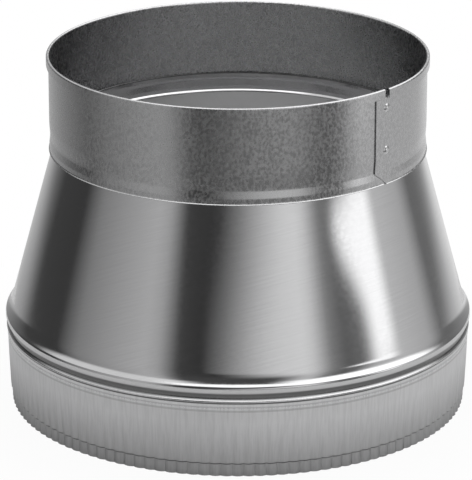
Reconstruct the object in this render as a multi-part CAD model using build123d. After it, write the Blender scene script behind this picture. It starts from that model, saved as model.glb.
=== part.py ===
from build123d import *
from math import cos, degrees, pi, sin
import os

# Round duct reducer in galvanised sheet, standing on its crimped end.
# Millimetres, +Z up along the duct axis, origin at the centre of the lip's lower edge.

# Nominal duct sizes, sheet and play
small_duct_dia = 203.2      # 8 in: bore of the plain collar
large_duct_dia = 254.0      # 10 in: bore of the pipe that slips over the crimped end
sheet = 0.55                # 26 gauge
nest_play = 0.1             # between two sheets that nest in each other
slip_play = 0.1             # radial, between the large pipe and the plain spigot

# Crimped band, from the lip up
lip_height = 7.0            # set-in lip below the flutes
step_height = 0.6           # slope between lip and flutes
flute_length = 29.4
shoulder_height = 1.2       # slope between flutes and plain spigot
spigot_length = 3.4         # plain root that the large pipe seats on
stop_rise = 0.5             # stop bead above the spigot
stop_foot = 0.7             # lower corner of the stop bead above the spigot's end
stop_face = 0.55            # steep face of the stop bead
stop_lean = 0.05            # inward lean of that face
groove_drop = 0.7           # groove below the spigot, between stop bead and cone
grip_lean = 0.12            # inward lean of the band's upper edge inside the cone's rim
flute_count = 130
flute_start_drop = 0.2      # crests below the spigot, at the flutes' upper end
flute_end_drop = 1.3        # crests below the spigot, at the step
flute_depth = 0.7           # valleys below the crests, at the step
lip_drop = 2.1              # lip's crests below the spigot

# Cone, from its rim up
rim_above_spigot = 4.2      # lower edge of the cone above the spigot's end
rim_rise = 0.8              # rim bead above the spigot
rim_curl = 0.75             # inward turn of the lower edge
rim_height = 6.1            # rim bead, edge to ledge
rim_bend = 2.0              # rounding between rim bead and ledge
ledge_height = 0.3          # fall of the ledge from the slope to the rim bead
foot_drop = 1.8             # foot of the slope below the spigot
slope_height = 90.1
waist_drop = 1.0            # head of the slope below the collar's bore

# Collar, from its lower edge up
edge_drop = 0.3             # lower edge below the head of the slope
collar_height = 52.8
edge_flare = 0.6            # outward turn of the lower edge
flare_height = 0.7
lock_drop = 0.42            # lock groove, rolled into collar and neck together
lock_brow = 0.05            # slight swell below the groove
lock_foot = 3.6             # lower end of the lock groove above the edge
lock_low = 7.6              # bottom of the groove, from here
lock_high = 9.0             # to here above the edge
socket_start = 15.0         # plain wall above the edge, past the lock groove
neck_foot = 1.4             # lower end of the cone's neck above the edge
neck_end = 11.7             # upper edge of the neck above the collar's edge
neck_lean = 0.45            # inward lean of the neck's upper edge
hem_height = 4.9            # depth of the folded hem
hem_gap = 0.7               # open space inside the fold
tab_gap = 0.4               # lapped ends stop this far below the hem

# Lapped seam, lengths along the arc
seam_angle = -45.4          # edge of the outer end, counter-clockwise from +X
lap = 20.0                  # overlap of the strip's two ends
lap_settle = 55.0           # arc over which the outer end comes back to the circle
notch_inset = 6.2           # seam edge to the gap between the two hem ends
notch_width = 2.6
clip_width = 9.3            # clipped lower corner of the outer end
clip_height = 7.4

# Rivets through the lap
rivet_inset = 8.1           # seam edge to the rivets
rivet_heights = (19.2, 42.4)  # above the collar's lower edge
rivet_dia = 2.4
rivet_play = 0.05
rivet_head_dia = 4.6
rivet_head_rise = 0.9
rivet_tail_dia = 3.6
rivet_tail_rise = 0.4

# Radii that follow
bore = small_duct_dia / 2
spigot = large_duct_dia / 2 - slip_play
rim = spigot + rim_rise
grip = rim - sheet - nest_play
groove = spigot - groove_drop
stop = spigot + stop_rise
flute_start = spigot - flute_start_drop

# Heights that follow
flute_foot = lip_height + step_height
flute_top = flute_foot + flute_length
spigot_foot = flute_top + shoulder_height
spigot_top = spigot_foot + spigot_length
stop_low = spigot_top + stop_foot
stop_high = stop_low + stop_face
rim_edge = spigot_top + rim_above_spigot
ledge = rim_edge + rim_height
slope_foot = ledge + ledge_height
slope_head = slope_foot + slope_height
collar_edge = slope_head - edge_drop
collar_top = collar_edge + collar_height
hem_edge = collar_top - hem_height


def turn(arc):
    return degrees(arc / bore)


def sheet_section(points, radii):
    line = FilletPolyline(*points, radius=radii)
    return Plane.XZ * make_face(offset(line, amount=sheet, side=Side.RIGHT))


def ring(section, start, end):
    return Rot(0, 0, start) * revolve(section, Axis.Z, end - start)


# Lock groove, on the face where collar and neck meet
lock_line = [
    (bore + lock_brow, collar_edge + lock_foot),
    (bore - lock_drop, collar_edge + lock_low),
    (bore - lock_drop, collar_edge + lock_high),
]
lock_bends = [3.0, 6.0, 4.0]

# Collar: a strip rolled round with its right-hand end lapped over the left, hem folded outward
hem_width = 2 * sheet + hem_gap
hem_bend = hem_width * 0.47
wall_line = [
    (bore + edge_flare, collar_edge),
    (bore, collar_edge + flare_height),
    *lock_line,
    (bore, collar_edge + socket_start),
]
hem_line = [
    (bore, collar_top),
    (bore + hem_width, collar_top),
    (bore + hem_width, hem_edge),
]
wall_bends = [1.2, *lock_bends, 30.0]
hemmed = sheet_section(wall_line + hem_line, [*wall_bends, hem_bend, hem_bend])
plain = sheet_section(wall_line + [(bore, hem_edge - tab_gap)], wall_bends)

lap_step = sheet + nest_play
lap_end = seam_angle + turn(lap)
left_hem_end = seam_angle + turn(notch_inset)
right_hem_start = left_hem_end + turn(notch_width)
settle_start = lap_end + turn(2 * sheet)
settle_end = settle_start + turn(lap_settle)

settle_stages = []
for share in (0, 1 / 6, 1 / 3, 1 / 2, 2 / 3, 5 / 6, 1):
    lift = lap_step * (1 + cos(pi * share)) / 2
    angle = settle_start + share * (settle_end - settle_start)
    settle_stages.append(Rot(0, 0, angle) * (Pos(lift, 0, 0) * hemmed))

around = ring(hemmed, settle_end, left_hem_end + 360)
inner_tab = ring(plain, left_hem_end, lap_end)
outer_tab = ring(Pos(lap_step, 0, 0) * plain, seam_angle, right_hem_start)
outer_hemmed = ring(Pos(lap_step, 0, 0) * hemmed, right_hem_start, settle_start)
settling = loft(settle_stages)

# The outer end's lower corner is clipped clear of the lock groove
corner = Polyline(
    (-1, collar_edge - 1),
    (clip_width, collar_edge - 1),
    (clip_width, collar_edge),
    (0, collar_edge + clip_height),
    (-1, collar_edge + clip_height),
    close=True,
)
tangent_plane = Plane(origin=(0, 0, 0), x_dir=(0, 1, 0), z_dir=(1, 0, 0))
clip = Rot(0, 0, seam_angle) * extrude(tangent_plane * make_face(corner), amount=bore + 10)

collar = around + inner_tab + settling + (outer_tab + outer_hemmed - clip)
rivet_angle = seam_angle + turn(rivet_inset)
rivet_axes = []
for height in rivet_heights:
    rivet_axes.append(Rot(0, 0, rivet_angle) * Pos(0, 0, collar_edge + height) * Rot(0, 90, 0))
for axis in rivet_axes:
    collar -= axis * Pos(0, 0, bore) * Cylinder(rivet_dia / 2 + rivet_play, 8)

# Rivets: domed head outside, flat upset tail inside
head_seat = bore + lap_step + sheet
tail_seat = bore - rivet_play
tail_end = tail_seat - rivet_tail_rise
head_end = head_seat + rivet_head_rise
head_radius = rivet_head_dia / 2
dome_radius = (head_radius ** 2 + rivet_head_rise ** 2) / (2 * rivet_head_rise)
shank_side = Polyline(
    (0, tail_end),
    (rivet_tail_dia / 2, tail_end),
    (rivet_tail_dia / 2, tail_seat),
    (rivet_dia / 2, tail_seat),
    (rivet_dia / 2, head_seat),
    (head_radius, head_seat),
)
dome = RadiusArc((head_radius, head_seat), (0, head_end), -dome_radius)
middle = Line((0, head_end), (0, tail_end))
rivet = revolve(Plane.XZ * make_face(shank_side + dome + middle), Axis.Z)
seam_rivets = Compound(children=[axis * rivet for axis in rivet_axes])

# Cone: neck nested in the collar's lock groove, slope, rim curled round the band's upper edge
neck = bore - nest_play
cone_line = [(neck - lock_drop - neck_lean, collar_edge + neck_end)]
for radius, height in reversed(lock_line):
    cone_line.append((radius - nest_play, height))
cone_line += [
    (neck, collar_edge + neck_foot),
    (bore - waist_drop, slope_head),
    (spigot - foot_drop, slope_foot),
    (rim, ledge),
    (rim, rim_edge + 2 * rim_curl),
    (rim - rim_curl, rim_edge),
]
cone_bends = [*reversed(lock_bends), 0.8, 0.6, 1.0, rim_bend, 2.0]
cone = revolve(sheet_section(cone_line, cone_bends), Axis.Z)

# Crimped band: upper edge gripped in the cone's rim, then groove, stop bead and plain spigot
band_line = [
    (grip - grip_lean, ledge - rim_bend - sheet),
    (grip, rim_edge + 3.8 * sheet),
    (groove, rim_edge),
    (groove, stop_high + stop - groove),
    (stop - stop_lean, stop_high),
    (stop, stop_low),
    (spigot, spigot_top),
    (spigot, spigot_foot),
]
band = revolve(sheet_section(band_line, [1.0, 0.8, 0.5, 0.65, 0.65, 0.8]), Axis.Z)

# Flutes: a shoulder below the spigot, then crests and valleys that grow down to the step and lip
flute_shape = ((0.0, 1.0), (0.2, 0.3), (0.5, 0.0), (0.8, 0.3))  # share of pitch, of depth
flute_stops = []
flute_drops = []
for flute in range(flute_count):
    for share, drop in flute_shape:
        flute_stops.append((flute + share) / flute_count)
        flute_drops.append(drop)
flute_levels = (
    (spigot, 0, spigot_foot),
    (flute_start, 0, flute_top),
    (spigot - flute_end_drop, flute_depth, flute_foot),
    (spigot - lip_drop, flute_depth, lip_height),
    (spigot - lip_drop, flute_depth, 0),
)


def round_axis(radius, turns, z):
    return (radius * cos(2 * pi * turns), radius * sin(2 * pi * turns), z)


def fluted_wire(crest, depth, z):
    if depth:
        corners = [round_axis(crest - depth * d, t, z) for t, d in zip(flute_stops, flute_drops)]
        return Wire(Polyline(*corners, close=True).edges())
    arcs = []
    for start, end in zip(flute_stops, flute_stops[1:] + [1.0]):
        ends_and_middle = [round_axis(crest, t, z) for t in (start, (start + end) / 2, end)]
        arcs.append(ThreePointArc(*ends_and_middle))
    return Wire(arcs)


def fluted_skin(inset):
    wires = [fluted_wire(crest - inset, depth, z) for crest, depth, z in flute_levels]
    strips = []
    for upper, lower in zip(wires, wires[1:]):
        for edge, below in zip(upper.edges(), lower.edges()):
            strips.append(Face.make_surface_from_curves(edge, below))
    return wires, strips


outer_wires, outer_strips = fluted_skin(0)
inner_wires, inner_strips = fluted_skin(sheet)
ends = [Face(outer_wires[i], [inner_wires[i]]) for i in (0, -1)]
flutes = Solid(Shell(outer_strips + inner_strips + ends))
crimped_band = band + flutes

os.makedirs("parts", exist_ok=True)
export_step(collar, "parts/collar.step")
export_step(seam_rivets, "parts/seam_rivets.step")
export_step(cone, "parts/cone.step")
export_step(crimped_band, "parts/crimped_band.step")
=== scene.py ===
# %% [markdown]
# # A round duct reducer in galvanised sheet
#
# The part is a short transition between two round ducts. A plain collar with a folded hem takes
# the small duct, a bright cone widens the way, and a crimped band slips into the large duct.
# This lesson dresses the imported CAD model: it loads the solids as a fixed frame, models again
# what needs a finer surface, and gives every piece a finish made of nodes.

# %% Load the frame
import math

import bmesh
import bpy
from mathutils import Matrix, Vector


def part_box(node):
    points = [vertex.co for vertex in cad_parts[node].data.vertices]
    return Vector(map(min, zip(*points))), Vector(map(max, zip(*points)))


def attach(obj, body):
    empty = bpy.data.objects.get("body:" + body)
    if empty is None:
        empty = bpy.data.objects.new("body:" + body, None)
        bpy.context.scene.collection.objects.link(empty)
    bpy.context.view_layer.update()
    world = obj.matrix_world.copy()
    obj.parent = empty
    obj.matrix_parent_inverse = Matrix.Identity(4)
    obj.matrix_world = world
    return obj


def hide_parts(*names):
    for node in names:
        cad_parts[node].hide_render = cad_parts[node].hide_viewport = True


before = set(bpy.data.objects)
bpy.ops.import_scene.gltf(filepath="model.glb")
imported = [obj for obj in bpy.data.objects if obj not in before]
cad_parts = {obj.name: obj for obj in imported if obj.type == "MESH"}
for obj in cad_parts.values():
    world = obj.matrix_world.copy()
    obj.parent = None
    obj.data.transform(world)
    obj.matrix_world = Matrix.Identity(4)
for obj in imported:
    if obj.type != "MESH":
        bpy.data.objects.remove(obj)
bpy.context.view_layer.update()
for node_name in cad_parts:
    low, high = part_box(node_name)
    print(node_name, "from z", round(low[2] * 1000, 1), "to", round(high[2] * 1000, 1), "mm")

# %% [markdown]
# ## Modelling round sheet
#
# Cone and band are sheet bent along round lines. Their sections are drawn as a few corners with a
# rounding in each, in millimetres from the axis and above the floor. A curve with a Screw
# modifier could turn them into sheet, but a vertex that is extruded along the section and then
# spun leaves every row of faces where the bend needs it. The sheet gets its thickness last.

# %% Start a piece and pick its vertices
MM = 0.001


def start_from_one_vertex(name):
    """A plane merged to its middle is the shortest way to a single vertex."""
    bpy.ops.object.select_all(action="DESELECT")
    bpy.ops.mesh.primitive_plane_add(size=MM)
    piece = bpy.context.active_object
    piece.name = name
    piece.data.name = name
    bpy.ops.object.mode_set(mode="EDIT")
    bpy.ops.mesh.select_all(action="SELECT")
    bpy.ops.mesh.merge(type="CENTER")
    return piece


def select_where(piece, test):
    """Selects the vertices whose place passes the test."""
    bpy.ops.mesh.select_all(action="DESELECT")
    mesh = bmesh.from_edit_mesh(piece.data)
    for vertex in mesh.verts:
        vertex.select = test(vertex.co)
    mesh.select_flush_mode()
    bmesh.update_edit_mesh(piece.data)


# %% Extrude, spin and resize what is selected
def extrude(x, y, z):
    bpy.ops.mesh.extrude_region_move(TRANSFORM_OT_translate={"value": (x, y, z)})


def spin(steps, angle, copies=False):
    """Spins about the Z axis. A positive angle runs clockwise, seen from above."""
    bpy.ops.mesh.spin(steps=steps, dupli=copies, angle=angle, center=(0, 0, 0), axis=(0, 0, 1))


def resize_ring(share, height):
    """Moves a ring at this height nearer to the axis or away from it."""
    bpy.ops.transform.resize(value=(share, share, 1), center_override=(0, 0, height * MM))


# %% Turn a surface into sheet
SHEET = 0.55 * MM
DOUBLES = 0.002 * MM             # vertices nearer than this are merged
CREASE = math.radians(40)        # edges sharper than this stay sharp
print("sheet of", round(SHEET / MM, 2), "mm")


def apply_modifier(piece, kind, **settings):
    bpy.context.view_layer.objects.active = piece
    modifier = piece.modifiers.new(kind.title(), kind)
    for setting, value in settings.items():
        setattr(modifier, setting, value)
    bpy.ops.object.modifier_apply(modifier=modifier.name)


def finish_sheet(piece):
    """Closes doubles, turns the faces outwards, gives the sheet its thickness and smooths it."""
    bpy.ops.mesh.select_all(action="SELECT")
    bpy.ops.mesh.remove_doubles(threshold=DOUBLES)
    bpy.ops.mesh.normals_make_consistent(inside=False)
    bpy.ops.object.mode_set(mode="OBJECT")
    apply_modifier(piece, "SOLIDIFY", thickness=SHEET, offset=-1.0, use_even_offset=True)
    bpy.ops.object.select_all(action="DESELECT")
    piece.select_set(True)
    bpy.ops.object.shade_smooth_by_angle(angle=CREASE)
    piece.data.calc_loop_triangles()
    print(piece.name, "has", len(piece.data.loop_triangles), "triangles")


# %% A line with rounded corners
LONG_PART = 5                    # straight parts of more than so many reaches are held flat


def rounded_line(corners, radii, step):
    """Points of a line through the corners, with an arc in each corner but the two ends.
    An arc has a point for every so many degrees."""
    points = [Vector(corner) for corner in corners]
    line = [points[0]]
    for before, corner, after, radius in zip(points, points[1:], points[2:], radii):
        back = (before - corner).normalized()
        ahead = (after - corner).normalized()
        half = back.angle(ahead) / 2
        centre = corner + (back + ahead).normalized() * radius / math.sin(half)
        first = corner + back * radius / math.tan(half) - centre
        last = corner + ahead * radius / math.tan(half) - centre
        count = max(2, math.ceil((math.pi - 2 * half) / math.radians(step)))
        line += [centre + first.slerp(last, i / count) * radius for i in range(count + 1)]
    return line + [points[-1]]


def held_flat(line, reach):
    """Adds points near the ends of long straight parts, so that smooth shading keeps them flat."""
    held = [line[0]]
    for here, there in zip(line, line[1:]):
        share = reach / (there - here).length
        if share < 1 / LONG_PART:
            held += [here.lerp(there, share), there.lerp(here, share)]
        held.append(there)
    return held


# %% [markdown]
# ## The cone
#
# The cone is one round sheet, and bare metal shows every facet of it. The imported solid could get
# more faces, but its triangles would still be shaded unevenly at the bends. So the section is
# drawn once, from the neck that sits in the collar down to the rim that is rolled over the band,
# and spun round the axis in small steps.

# %% Section of the cone
CONE_CORNERS = [
    (100.63, 153.70),            # edge of the neck
    (101.08, 151.00),            # lock groove
    (101.08, 149.60),
    (101.55, 145.60),
    (101.50, 143.40),
    (100.60, 142.30),            # waist under the collar's edge
    (124.61, 54.00),             # the slope runs out in a wide cove
    (127.70, 50.50),             # rim
    (127.70, 48.00),
    (126.95, 45.80),             # rolled edge
]
CONE_ROUNDINGS = [4.0, 6.0, 3.0, 0.8, 0.6, 13.0, 2.0, 2.0]
CONE_ARC_STEP = 5
CONE_HOLD = 0.8
cone_line = held_flat(rounded_line(CONE_CORNERS, CONE_ROUNDINGS, CONE_ARC_STEP), CONE_HOLD)
print("the cone's section has", len(cone_line), "points")

# %% Draw the section and spin it
CONE_STEPS = 240
cone = start_from_one_vertex("spun_cone")
radius, height = cone_line[0]
bpy.ops.transform.translate(value=(radius * MM, 0, height * MM))
for here, there in zip(cone_line, cone_line[1:]):
    outwards, upwards = (there - here) * MM
    extrude(outwards, 0, upwards)
bpy.ops.mesh.select_all(action="SELECT")
spin(CONE_STEPS, 2 * math.pi)
finish_sheet(cone)
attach(cone, "root")
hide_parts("cone")

# %% [markdown]
# ## The crimped band
#
# On the real part a crimping wheel presses one flute after the other into the end of the band, so
# that it grows narrower towards the lip. All flutes are alike. A displacement on a round tube
# could give the waves, but the flutes fade out at the top and step in at the lip, and that is
# easier to shape from listed rings. So one flute is modelled as a narrow strip: an arc of a few
# vertices is extruded ring by ring up the band, the two valley sides are pressed in, and the
# strip is then copied round the axis.

# %% Sizes of the flutes
FLUTES = 130
COLUMNS = 8                      # steps across one flute
PITCH = 2 * math.pi / FLUTES

# share of the depth by which the columns are pressed in, from the valley towards the crest:
# soft waves up the flutes, round tiles with narrow valleys on the lip
WAVE = [1.0, 0.85, 0.50, 0.15]
TILE = [1.0, 0.60, 0.27, 0.07]

# radius of the crest, height and depth of the valley, from the lip up
LIP_RINGS = [
    (124.80, 0.00, 0.95),
    (124.80, 0.50, 0.95),
    (124.80, 3.50, 0.95),
    (124.80, 6.50, 0.95),
    (124.86, 6.90, 0.90),
    (125.10, 7.15, 0.85),
    (125.45, 7.35, 0.80),
    (125.60, 7.60, 0.75),
]
FLUTE_RINGS = [
    (125.65, 8.20, 0.70),
    (125.80, 11.5, 0.60),
    (125.99, 16.0, 0.48),
    (126.22, 21.0, 0.36),
    (126.42, 26.0, 0.24),
    (126.58, 31.0, 0.12),
    (126.68, 35.5, 0.03),
    (126.71, 37.0, 0.00),
]
print(FLUTES, "flutes,", round(FLUTE_RINGS[0][0] * PITCH, 2), "mm apart")

# %% Section of the stop bead
BEAD_CORNERS = [
    (126.90, 38.20),             # plain spigot
    (126.90, 41.60),
    (127.40, 42.30),             # stop bead
    (127.35, 42.85),
    (126.20, 44.05),             # groove
    (126.20, 45.80),
    (127.05, 47.89),             # edge inside the cone's rim
    (126.93, 49.35),
]
BEAD_ROUNDINGS = [0.8, 0.65, 0.65, 0.5, 0.8, 1.0]
BEAD_ARC_STEP = 16
bead_line = rounded_line(BEAD_CORNERS, BEAD_ROUNDINGS, BEAD_ARC_STEP)
BAND_RINGS = LIP_RINGS + FLUTE_RINGS + [(radius, height, 0) for radius, height in bead_line]
print("the band has", len(BAND_RINGS), "rings")

# %% One flute, ring by ring
band = start_from_one_vertex("fluted_band")
first_radius = BAND_RINGS[0][0] * MM
bpy.ops.transform.translate(value=(first_radius, 0, 0))
spin(COLUMNS, PITCH)
bpy.ops.mesh.select_all(action="SELECT")
for (radius, height, _), (next_radius, next_height, _) in zip(BAND_RINGS, BAND_RINGS[1:]):
    extrude(0, 0, (next_height - height) * MM)
    resize_ring(next_radius / radius, next_height)
print("one flute has", len(bmesh.from_edit_mesh(band.data).verts), "vertices")

# %% Press the valley sides in
LIP_TOP = 8                      # tiles below this height, waves above it
LEVEL_PLAY = 0.05 * MM
COLUMN_PLAY = 0.1


def column_test(height, column):
    """A test for the two vertices of a ring that lie this many columns from either edge."""

    def on_column(place):
        across = -math.atan2(place.y, place.x) / PITCH * COLUMNS  # the spin runs clockwise
        off_column = min(abs(across - column), abs(across - COLUMNS + column))
        return abs(place.z - height * MM) < LEVEL_PLAY and off_column < COLUMN_PLAY

    return on_column


for radius, height, depth in BAND_RINGS:
    if depth == 0:
        continue
    for column, pressed in enumerate(TILE if height < LIP_TOP else WAVE):
        select_where(band, column_test(height, column))
        resize_ring((radius - depth * pressed) / radius, height)
print("valleys up to", max(depth for _, _, depth in BAND_RINGS), "mm deep")

# %% Copy the flute round the axis
bpy.ops.mesh.select_all(action="SELECT")
spin(FLUTES - 1, PITCH * (FLUTES - 1), copies=True)
finish_sheet(band)
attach(band, "root")
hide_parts("crimped_band")

# %% [markdown]
# ## Finishes
#
# All pieces are zinc coated steel, but they differ: the cone is cut from bright rolled sheet with
# a fine straight grain, the collar has a matt spangle, and the crimped band is dull and streaked
# along its flutes. Painted images could show that, but noise on Object coordinates needs no
# unwrapping, and it keeps each pattern fixed to its piece.


# %% Materials and nodes
def new_material(name):
    material = bpy.data.materials.new(name)
    material.use_nodes = True
    tree = material.node_tree
    shader = tree.nodes["Principled BSDF"]
    shader.inputs["Metallic"].default_value = 1.0
    return material, tree, shader


def add(tree, kind, **settings):
    node = tree.nodes.new(kind)
    for setting, value in settings.items():
        setattr(node, setting, value)
    return node


def feed(tree, value, socket):
    """Links a socket to an input, or sets a plain value on it."""
    if isinstance(value, bpy.types.NodeSocket):
        tree.links.new(value, socket)
    else:
        socket.default_value = value


def count_nodes(material):
    print(material.name, "has", len(material.node_tree.nodes), "nodes")


# %% Numbers in nodes
def math_node(tree, operation, *values):
    """A Math node. Each value is a number or a socket."""
    node = add(tree, "ShaderNodeMath", operation=operation)
    for value, socket in zip(values, node.inputs):
        feed(tree, value, socket)
    return node.outputs[0]


def map_range(tree, value, from_low, from_high, to_low, to_high, smooth=False):
    node = add(tree, "ShaderNodeMapRange")
    node.interpolation_type = "SMOOTHSTEP" if smooth else "LINEAR"
    for number, socket in zip((value, from_low, from_high, to_low, to_high), node.inputs):
        feed(tree, number, socket)
    return node.outputs[0]


# %% Places in nodes
def object_place(tree):
    return add(tree, "ShaderNodeTexCoord").outputs["Object"]


def stretched_place(tree, x, y, z):
    """Object coordinates, stretched so that a pattern runs long where the number is small."""
    mapping = add(tree, "ShaderNodeMapping")
    mapping.inputs["Scale"].default_value = (x, y, z)
    tree.links.new(object_place(tree), mapping.inputs["Vector"])
    return mapping.outputs["Vector"]


def axes_of(tree, place):
    """A place as its X, Y and Z."""
    split = add(tree, "ShaderNodeSeparateXYZ")
    tree.links.new(place, split.inputs[0])
    return split.outputs


def angle_round(tree, axes):
    """Angle about the Z axis, from the front to the right."""
    return math_node(tree, "ARCTAN2", axes["X"], math_node(tree, "MULTIPLY", axes["Y"], -1.0))


# %% Greys in nodes
MIX_FIRST, MIX_SECOND, MIX_RESULT = 6, 7, 2  # the colour sockets of a Mix node
COOL = 1.01                      # share of blue in a cool grey


def grey(brightness, blue=1.0):
    return (brightness, brightness, brightness * blue, 1)


def mix_colour(tree, factor, first, second):
    """Mixes two colours. Each is a colour or a socket."""
    node = add(tree, "ShaderNodeMix", data_type="RGBA")
    feed(tree, factor, node.inputs["Factor"])
    feed(tree, first, node.inputs[MIX_FIRST])
    feed(tree, second, node.inputs[MIX_SECOND])
    return node.outputs[MIX_RESULT]


def grey_ramp(tree, value, stops):
    """A colour ramp of greys, from (position, brightness) pairs."""
    node = add(tree, "ShaderNodeValToRGB")
    ramp = node.color_ramp
    while len(ramp.elements) > 1:
        ramp.elements.remove(ramp.elements[-1])
    ramp.elements[0].position = stops[0][0]
    for position, _ in stops[1:]:
        ramp.elements.new(position)
    for element, (_, brightness) in zip(ramp.elements, stops):
        element.color = grey(brightness)
    tree.links.new(value, node.inputs[0])
    return node.outputs[0]


# %% [markdown]
# ### Mottle of a zinc skin
#
# Zinc freezes in small grains, some brighter than others. A Voronoi texture would draw them with
# hard borders, as on new hot-dipped sheet. Here they are small and soft, so a Noise texture does
# it, and a node group lets each finish use it at its own scale.


# %% Group for the mottle
def mottle_group():
    """Gives the grains of the zinc as a mask."""
    group = bpy.data.node_groups.new("zinc_mottle", "ShaderNodeTree")
    group.interface.new_socket("Vector", in_out="INPUT", socket_type="NodeSocketVector")
    group.interface.new_socket("Grains per metre", in_out="INPUT", socket_type="NodeSocketFloat")
    group.interface.new_socket("Grains", in_out="OUTPUT", socket_type="NodeSocketFloat")
    inside = add(group, "NodeGroupInput")
    outside = add(group, "NodeGroupOutput")
    grains = add(group, "ShaderNodeTexNoise")
    grains.inputs["Detail"].default_value = 2.5
    grains.inputs["Roughness"].default_value = 0.6
    group.links.new(inside.outputs["Vector"], grains.inputs["Vector"])
    group.links.new(inside.outputs["Grains per metre"], grains.inputs["Scale"])
    mask = map_range(group, grains.outputs["Fac"], 0.34, 0.62, 0, 1, smooth=True)
    group.links.new(mask, outside.inputs["Grains"])
    return group


zinc_mottle = mottle_group()
print(zinc_mottle.name, "has", len(zinc_mottle.nodes), "nodes")


def place_mottle(tree, vector, grains_per_metre):
    node = add(tree, "ShaderNodeGroup", node_tree=zinc_mottle)
    tree.links.new(vector, node.inputs["Vector"])
    node.inputs["Grains per metre"].default_value = grains_per_metre
    return node.outputs["Grains"]


# %% [markdown]
# ### Painted shade in the joints
#
# Painted shade darkens the narrow lines round the part, where shadow lies. It could be painted
# on vertices, but every line runs level round the axis, so the height alone tells where it is.


# %% Group for the painted shade
def painted_shade_group():
    """Gives one line of painted shade as a mask by height."""
    group = bpy.data.node_groups.new("painted_joint_shade", "ShaderNodeTree")
    group.interface.new_socket("Vector", in_out="INPUT", socket_type="NodeSocketVector")
    for value in ("Height", "Reach", "Amount"):
        group.interface.new_socket(value, in_out="INPUT", socket_type="NodeSocketFloat")
    group.interface.new_socket("Painted shade", in_out="OUTPUT", socket_type="NodeSocketFloat")
    inside = add(group, "NodeGroupInput")
    outside = add(group, "NodeGroupOutput")
    height = axes_of(group, inside.outputs["Vector"])["Z"]
    off = math_node(group, "SUBTRACT", height, inside.outputs["Height"])
    off = math_node(group, "ABSOLUTE", off)
    off = math_node(group, "DIVIDE", off, inside.outputs["Reach"])
    mask = map_range(group, off, 0.5, 1.0, 1, 0, smooth=True)
    mask = math_node(group, "MULTIPLY", mask, inside.outputs["Amount"])
    group.links.new(mask, outside.inputs["Painted shade"])
    return group


painted_joint_shade = painted_shade_group()
print(painted_joint_shade.name, "has", len(painted_joint_shade.nodes), "nodes")


# places one line of painted shade, for the shadow in a gap, at a height
def place_painted_shade(tree, vector, height, reach, amount=0.85):
    node = add(tree, "ShaderNodeGroup", node_tree=painted_joint_shade)
    tree.links.new(vector, node.inputs["Vector"])
    node.inputs["Height"].default_value = height * MM
    node.inputs["Reach"].default_value = reach * MM
    node.inputs["Amount"].default_value = amount
    return node.outputs["Painted shade"]


# %% Colour, roughness and bump of a finish
# colour of the painted shade in the gaps and towards the lip
PAINTED_SHADE = grey(0.09)


def tint(tree, shader, value, dark, light, painted_shade=None):
    """Base colour between two cool greys, darkened by painted shade where a mask is given."""
    colour = mix_colour(tree, value, grey(dark, COOL), grey(light, COOL))
    # painted shade: the mask darkens the base colour
    if painted_shade is not None:
        colour = mix_colour(tree, painted_shade, colour, PAINTED_SHADE)
    tree.links.new(colour, shader.inputs["Base Color"])


def roughen(tree, shader, value, low, high):
    tree.links.new(map_range(tree, value, 0, 1, low, high), shader.inputs["Roughness"])


def raise_surface(tree, shader, height, distance, strength):
    bump = add(tree, "ShaderNodeBump")
    bump.inputs["Strength"].default_value = strength
    bump.inputs["Distance"].default_value = distance
    tree.links.new(height, bump.inputs["Height"])
    tree.links.new(bump.outputs["Normal"], shader.inputs["Normal"])


# %% [markdown]
# ### The cone's straight grain
#
# The mill leaves fine straight lines in the sheet. When a flat blank is rolled up to a cone, these
# lines turn along with it: round the cone on one side, and rising across it on the other. So
# the nodes unroll the cone. The distance to its apex and the angle round it, shortened by the
# sine of the half angle, give the place on the flat blank, and the noise is stretched along one
# direction there.

# %% Unroll the cone
APEX = 0.5131                    # height of the cone's apex
HALF_ANGLE_SINE = 0.2618
GRAIN_AT = math.radians(55)      # direction, right of the front, in which the grain runs level

cone_finish, tree, shader = new_material("bright_rolled_zinc")
place = object_place(tree)
axes = axes_of(tree, place)
angle = math_node(tree, "SUBTRACT", angle_round(tree, axes), GRAIN_AT)
flat_angle = math_node(tree, "MULTIPLY", angle, HALF_ANGLE_SINE)
from_apex = add(tree, "ShaderNodeCombineXYZ")
tree.links.new(axes["X"], from_apex.inputs["X"])
tree.links.new(axes["Y"], from_apex.inputs["Y"])
tree.links.new(math_node(tree, "SUBTRACT", APEX, axes["Z"]), from_apex.inputs["Z"])
length = add(tree, "ShaderNodeVectorMath", operation="LENGTH")
tree.links.new(from_apex.outputs[0], length.inputs[0])
slant = length.outputs["Value"]
across = math_node(tree, "MULTIPLY", slant, math_node(tree, "COSINE", flat_angle))
along = math_node(tree, "MULTIPLY", slant, math_node(tree, "SINE", flat_angle))
print("the blank spans", round(360 * HALF_ANGLE_SINE), "degrees when it is flat")

# %% Grain and mottle of the cone
LINES_ACROSS = 1400.0            # to the metre, across the grain
LINES_ALONG = 26.0               # to the metre, along the grain
blank = add(tree, "ShaderNodeCombineXYZ")
tree.links.new(math_node(tree, "MULTIPLY", across, LINES_ACROSS), blank.inputs["X"])
tree.links.new(math_node(tree, "MULTIPLY", along, LINES_ALONG), blank.inputs["Y"])
grain = add(tree, "ShaderNodeTexNoise")
grain.inputs["Scale"].default_value = 1.0
grain.inputs["Detail"].default_value = 3.0
grain.inputs["Roughness"].default_value = 0.6
tree.links.new(blank.outputs[0], grain.inputs["Vector"])
lines = map_range(tree, grain.outputs["Fac"], 0.3, 0.7, 0, 1)
grains = place_mottle(tree, place, grains_per_metre=420.0)
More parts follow.
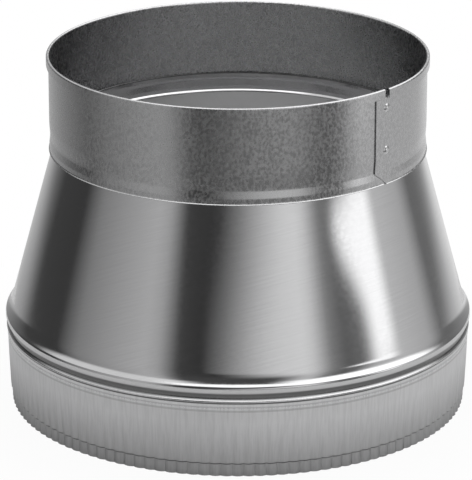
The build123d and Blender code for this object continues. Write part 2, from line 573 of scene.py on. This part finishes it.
# painted shade: shadow under the rolled rim and in the gap at the neck's edge
rim_shade = place_painted_shade(tree, place, height=45.6, reach=2.3)
neck_shade = place_painted_shade(tree, place, height=153.6, reach=0.9)
tint(tree, shader, lines, 0.66, 0.70, math_node(tree, "MAXIMUM", rim_shade, neck_shade))
roughen(tree, shader, grains, 0.10, 0.13)
raise_surface(tree, shader, lines, distance=0.004 * MM, strength=0.08)
cone.data.materials.append(cone_finish)
count_nodes(cone_finish)

# %% [markdown]
# ### The collar's spangle
#
# The collar comes from ordinary matt sheet, whose grains can be told apart. Its solid has the
# right shape and stays, so only its material slot changes. The same mask drives colour,
# roughness and bump, because a bright grain is also a rougher one that stands a little higher.

# %% Spangled collar
collar_finish, tree, shader = new_material("spangled_zinc")
grains = place_mottle(tree, stretched_place(tree, 1.0, 1.0, 0.7), grains_per_metre=780.0)
tint(tree, shader, grains, 0.51, 0.62)
roughen(tree, shader, grains, 0.17, 0.30)
raise_surface(tree, shader, grains, distance=0.02 * MM, strength=0.12)
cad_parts["collar"].material_slots[0].material = collar_finish
count_nodes(collar_finish)

# %% [markdown]
# ### The rivets
#
# The two rivet heads are small, smooth and a little brighter than the sheet. They keep their
# solids too, and a fine mottle is enough to break up their gloss.

# %% Satin rivets
rivet_finish, tree, shader = new_material("satin_rivet")
grains = place_mottle(tree, object_place(tree), grains_per_metre=1500.0)
tint(tree, shader, grains, 0.62, 0.74)
roughen(tree, shader, grains, 0.16, 0.28)
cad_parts["seam_rivets"].material_slots[0].material = rivet_finish
count_nodes(rivet_finish)

# %% [markdown]
# ### The dull band
#
# The crimping rolls rub the zinc dull and leave streaks along the flutes. The mottle becomes
# streaks when it is stretched up the band. Painted shade darkens the band towards the lip, for
# its contact shadow, and painted shadow lies in the lines above it. The crimping rolls don't
# reach the plain spigot at the top, so it is smoother.

# %% Dull crimped band
LIP_SHADE = 0.44                 # painted contact shadow at the lip, fading out upwards
LIP_SHADE_TOP = 30 * MM
BAND_SHADE_LINES = [                  # painted shade lines: height, reach and, where it is faint, the amount
    (45.2, 2.4),
    (41.8, 0.7),
    (39.5, 0.6, 0.25),
    (37.3, 0.8, 0.25),
    (7.0, 0.5),
]
SPIGOT_ROUGHNESS = 0.42          # share of the crimped part's
band_finish, tree, shader = new_material("dull_streaked_zinc")
streaks = place_mottle(tree, stretched_place(tree, 1.0, 1.0, 0.05), grains_per_metre=900.0)
place = object_place(tree)
axes = axes_of(tree, place)
# painted shade: darker towards the lip, for the contact shadow near the floor
painted_shade = map_range(tree, axes["Z"], 0.0, LIP_SHADE_TOP, LIP_SHADE, 0.0)
# painted shade in the groove, under the stop bead, in the faint lines and at the step
for joint in BAND_SHADE_LINES:
    painted_shade = math_node(tree, "MAXIMUM", painted_shade, place_painted_shade(tree, place, *joint))
tint(tree, shader, streaks, 0.69, 0.77, painted_shade)
dull = map_range(tree, streaks, 0, 1, 0.36, 0.46)
crimped = map_range(tree, axes["Z"], 36 * MM, 41 * MM, 1.0, SPIGOT_ROUGHNESS, smooth=True)
tree.links.new(math_node(tree, "MULTIPLY", dull, crimped), shader.inputs["Roughness"])
band.data.materials.append(band_finish)
count_nodes(band_finish)

# %% [markdown]
# ## Stage
#
# Bare metal looks like what stands around it. A photographer puts grey boards, black flags and a
# strip light round such a part. Separate planes could stand for them, but their edges are soft in
# the metal, so one upright ring takes all boards and flags and changes its brightness with the
# direction. The metal shows the ring, and the camera doesn't.


# %% Helpers for the stage
def set_up(name, height):
    """Names the new primitive and moves its mesh to this height."""
    piece = bpy.context.active_object
    piece.name = name
    bpy.ops.transform.translate(value=(0, 0, height))
    bpy.ops.object.transform_apply(location=True, rotation=True, scale=True)
    return piece


def new_light(piece):
    """A material that starts with no nodes, for a piece that the camera doesn't see."""
    piece.visible_camera = False
    material = bpy.data.materials.new(piece.name)
    material.use_nodes = True
    material.node_tree.nodes.clear()
    piece.data.materials.append(material)
    return material, material.node_tree


def show(tree, shader):
    out = add(tree, "ShaderNodeOutputMaterial")
    tree.links.new(shader.outputs[0], out.inputs["Surface"])


def mix_shader(tree, factor, first, second):
    node = add(tree, "ShaderNodeMixShader")
    for value, socket in zip((factor, first.outputs[0], second.outputs[0]), node.inputs):
        tree.links.new(value, socket)
    return node


# %% Ring of boards
STAGE_RADIUS = 2.5
BOARDS_HEIGHT = 7.5
BOARDS_MIDDLE = -0.25
bpy.ops.object.select_all(action="DESELECT")
bpy.ops.mesh.primitive_cylinder_add(
    vertices=96, radius=STAGE_RADIUS, depth=BOARDS_HEIGHT, end_fill_type="NOTHING"
)
boards = set_up("stage_boards", BOARDS_MIDDLE)

# brightness of the boards by direction, in degrees to the right of the camera
BOARDS = [
    (-180, 0.55), (-158, 0.38), (-124, 0.06), (-98, 0.05), (-84, 0.27), (-46, 0.53), (-39, 0.46),
    (-29, 0.06), (-13, 0.04), (-3, 0.22), (13, 0.60), (24, 0.80), (32, 0.86), (37, 0.76),
    (46, 0.26), (54, 0.13), (62, 0.16), (73, 0.56), (88, 0.62), (106, 0.50), (118, 0.17),
    (126, 0.18), (150, 0.36), (180, 0.60),
]
BOARDS_LOW = [                   # below the part
    (-180, 0.65), (-150, 0.46), (-100, 0.15), (-84, 0.25), (-42, 0.44), (-29, 0.12), (-16, 0.10),
    (12, 0.19), (36, 0.26), (49, 0.13), (60, 0.14), (77, 0.58), (138, 0.58), (158, 0.80),
]
print(boards.name, "has", len(BOARDS), "greys, and", len(BOARDS_LOW), "below the part")

# %% The boards lean a little in front
LEAN_HEIGHTS = (0.46, 0.63)
LEAN = (-5.5, 4.0)               # degrees, from the lower height to the upper one
boards_finish, tree = new_light(boards)
axes = axes_of(tree, object_place(tree))
height = axes["Z"]
degrees = map_range(tree, angle_round(tree, axes), -math.pi, math.pi, -180, 180)
off_front = math_node(tree, "ABSOLUTE", degrees)
in_front = map_range(tree, off_front, 12, 30, 1, 0, smooth=True)
lean = math_node(tree, "MULTIPLY", map_range(tree, height, *LEAN_HEIGHTS, *LEAN), in_front)
leaning = math_node(tree, "SUBTRACT", degrees, lean)
turn = map_range(tree, leaning, -180, 180, 0, 1)
upper, lower = (
    grey_ramp(tree, turn, [((direction + 180) / 360, light) for direction, light in stops])
    for stops in (BOARDS, BOARDS_LOW)
)
raised = map_range(tree, height, -0.45, -0.18, 0, 1, smooth=True)
blend = mix_colour(tree, raised, lower, upper)
print("the boards lean", LEAN[1] - LEAN[0], "degrees")

# %% Above the boards it is dark in front and light at the sides
DARK = grey(0.07)
SIDE_LIGHT = (0.8, 1.75)         # on the left and on the right
SIDE_RISE = 0.6
front = map_range(tree, off_front, 16, 44, 1, 0, smooth=True)
above = map_range(tree, height, 0.6, 1.6, 0, 1, smooth=True)
blend = mix_colour(tree, math_node(tree, "MULTIPLY", above, front), blend, DARK)
start = map_range(tree, off_front, 40, 95, 2.2, 0.95)
above = math_node(tree, "SUBTRACT", height, start)
above = map_range(tree, above, 0, SIDE_RISE, 0, 1, smooth=True)
side = math_node(tree, "SUBTRACT", 1.0, front)
side_light = map_range(tree, degrees, -60, 60, *SIDE_LIGHT)
blend = mix_colour(tree, math_node(tree, "MULTIPLY", above, side), blend, side_light)
glow = add(tree, "ShaderNodeEmission")
tree.links.new(blend, glow.inputs["Color"])
show(tree, glow)
count_nodes(boards_finish)

# %% [markdown]
# ### The strip light
#
# The brightest stripe on the cone has a slanted edge. On the far ring the metal's roughness would
# blur the slant away, so this light stands nearer, on a patch of its own. Its edge moves with
# the height, and where it isn't lit the patch is transparent.

# %% Patch for the strip light
STRIP_AT = 0.6
STRIP_FOOT = 0.03
STRIP_HEIGHT = 0.27
STRIP_START = math.radians(84)   # to the right of the camera
STRIP_SWEEP = math.radians(40)
STRIP_STEPS = 12
strip = start_from_one_vertex("stage_strip")
right, ahead = STRIP_AT * math.sin(STRIP_START), STRIP_AT * math.cos(STRIP_START)
bpy.ops.transform.translate(value=(right, -ahead, STRIP_FOOT))
extrude(0, 0, STRIP_HEIGHT)
bpy.ops.mesh.select_all(action="SELECT")
spin(STRIP_STEPS, STRIP_SWEEP)
bpy.ops.object.mode_set(mode="OBJECT")
print(strip.name, "has", len(strip.data.polygons), "faces")

# %% A strip light with a slanted edge
STRIP_LIGHT = 1.42
EDGE_HEIGHTS = (0.11, 0.20)
EDGE = (64.3, 51.0)              # degrees, from the lower height to the upper one
EDGE_BLUR = 5
STRIP_FADES = [(0.045, 0.085), (0.222, 0.190)]  # dark and full height, at both ends
strip_finish, tree = new_light(strip)
axes = axes_of(tree, object_place(tree))
degrees = map_range(tree, angle_round(tree, axes), -math.pi, math.pi, -180, 180)
edge = map_range(tree, axes["Z"], *EDGE_HEIGHTS, *EDGE, smooth=True)
past_edge = math_node(tree, "SUBTRACT", degrees, edge)
lit = map_range(tree, past_edge, -EDGE_BLUR, EDGE_BLUR, 0, 1, smooth=True)
lit = math_node(tree, "MULTIPLY", lit, map_range(tree, degrees, 72, 81, 1, 0, smooth=True))
for dark, full in STRIP_FADES:
    fade = map_range(tree, axes["Z"], dark, full, 0, 1, smooth=True)
    lit = math_node(tree, "MULTIPLY", lit, fade)
glow = add(tree, "ShaderNodeEmission")
glow.inputs["Strength"].default_value = STRIP_LIGHT
show(tree, mix_shader(tree, lit, add(tree, "ShaderNodeBsdfTransparent"), glow))
count_nodes(strip_finish)

# %% [markdown]
# ### Light from above, and the floor
#
# A wide soft light overhead closes the ring. An Area lamp could do that too, but a glowing disc
# fits the ring's edge. The floor is a pale disc. The camera sees it almost white, so that it runs
# into the white background and keeps a trace of shadow near the part.

# %% Soft light overhead
TOP_LIGHT = 1.62
TOP_AT = 3.5
bpy.ops.object.select_all(action="DESELECT")
bpy.ops.mesh.primitive_circle_add(vertices=64, radius=STAGE_RADIUS, fill_type="NGON")
overhead = set_up("stage_top", TOP_AT)
top_finish, tree = new_light(overhead)
glow = add(tree, "ShaderNodeEmission")
glow.inputs["Strength"].default_value = TOP_LIGHT
show(tree, glow)
count_nodes(top_finish)

# %% Floor
FLOOR_RADIUS = 0.28
FLOOR_AT = -0.1 * MM             # just under the lip
FLOOR_GREY = grey(0.62)
WHITE_REACH = (0.128, 0.25)
WHITE_SHARE = (0.95, 1.0)        # near the part and away from it
bpy.ops.object.select_all(action="DESELECT")
bpy.ops.mesh.primitive_circle_add(vertices=128, radius=FLOOR_RADIUS, fill_type="NGON")
floor = set_up("stage_floor", FLOOR_AT)
floor_finish = bpy.data.materials.new("stage_floor")
floor_finish.use_nodes = True
tree = floor_finish.node_tree
shader = tree.nodes["Principled BSDF"]
shader.inputs["Base Color"].default_value = FLOOR_GREY
shader.inputs["Roughness"].default_value = 0.9
shader.inputs["Specular IOR Level"].default_value = 0.1
reach = add(tree, "ShaderNodeVectorMath", operation="LENGTH")
tree.links.new(object_place(tree), reach.inputs[0])
away = map_range(tree, reach.outputs["Value"], *WHITE_REACH, *WHITE_SHARE, smooth=True)
seen = add(tree, "ShaderNodeLightPath").outputs["Is Camera Ray"]
white_share = math_node(tree, "MULTIPLY", away, seen)
both = mix_shader(tree, white_share, shader, add(tree, "ShaderNodeEmission"))
tree.links.new(both.outputs[0], tree.nodes["Material Output"].inputs["Surface"])
floor.data.materials.append(floor_finish)
count_nodes(floor_finish)

# %% [markdown]
# ### The background
#
# The photo is cut out on white. A white wall behind the part would need light of its own, so the
# world is white for the camera and in the metal, and a little softer as a light.

# %% World
WORLD_LIGHT = 0.9
WHITE = 1.0
world = bpy.data.worlds.new("studio")
bpy.context.scene.world = world
world.use_nodes = True
tree = world.node_tree
soft = tree.nodes["Background"]
plain = add(tree, "ShaderNodeBackground")
for background, strength in ((soft, WORLD_LIGHT), (plain, WHITE)):
    background.inputs["Color"].default_value = grey(1)
    background.inputs["Strength"].default_value = strength
rays = add(tree, "ShaderNodeLightPath").outputs
shown = math_node(tree, "MAXIMUM", rays["Is Camera Ray"], rays["Is Glossy Ray"])
shown = math_node(tree, "MAXIMUM", shown, rays["Is Transmission Ray"])
both = mix_shader(tree, shown, soft, plain)
tree.links.new(both.outputs[0], tree.nodes["World Output"].inputs["Surface"])
print(world.name, "has", len(tree.nodes), "nodes")

# %% [markdown]
# ## Camera
#
# The part is seen from a little above with a long lens, so that its sides hardly converge. Its
# height and distance follow from the ellipses of hem and lip.

# %% Camera
AIM = Vector((-1.0, 0, 87.64)) * MM
DISTANCE = 2014.8 * MM
RAISED = math.radians(19.28)
SENSOR = 36
LENS = 275.6
bpy.ops.object.camera_add()
camera = bpy.context.active_object
camera.name = "camera"
back = Vector((0, -math.cos(RAISED), math.sin(RAISED)))
camera.location = AIM + back * DISTANCE
camera.rotation_euler = (math.radians(90) - RAISED, 0, 0)
camera.data.sensor_fit = "VERTICAL"
camera.data.sensor_height = SENSOR
camera.data.lens = LENS
scene = bpy.context.scene
scene.camera = camera
scene.view_settings.view_transform = "Standard"
print("camera at", [round(value, 3) for value in camera.location])
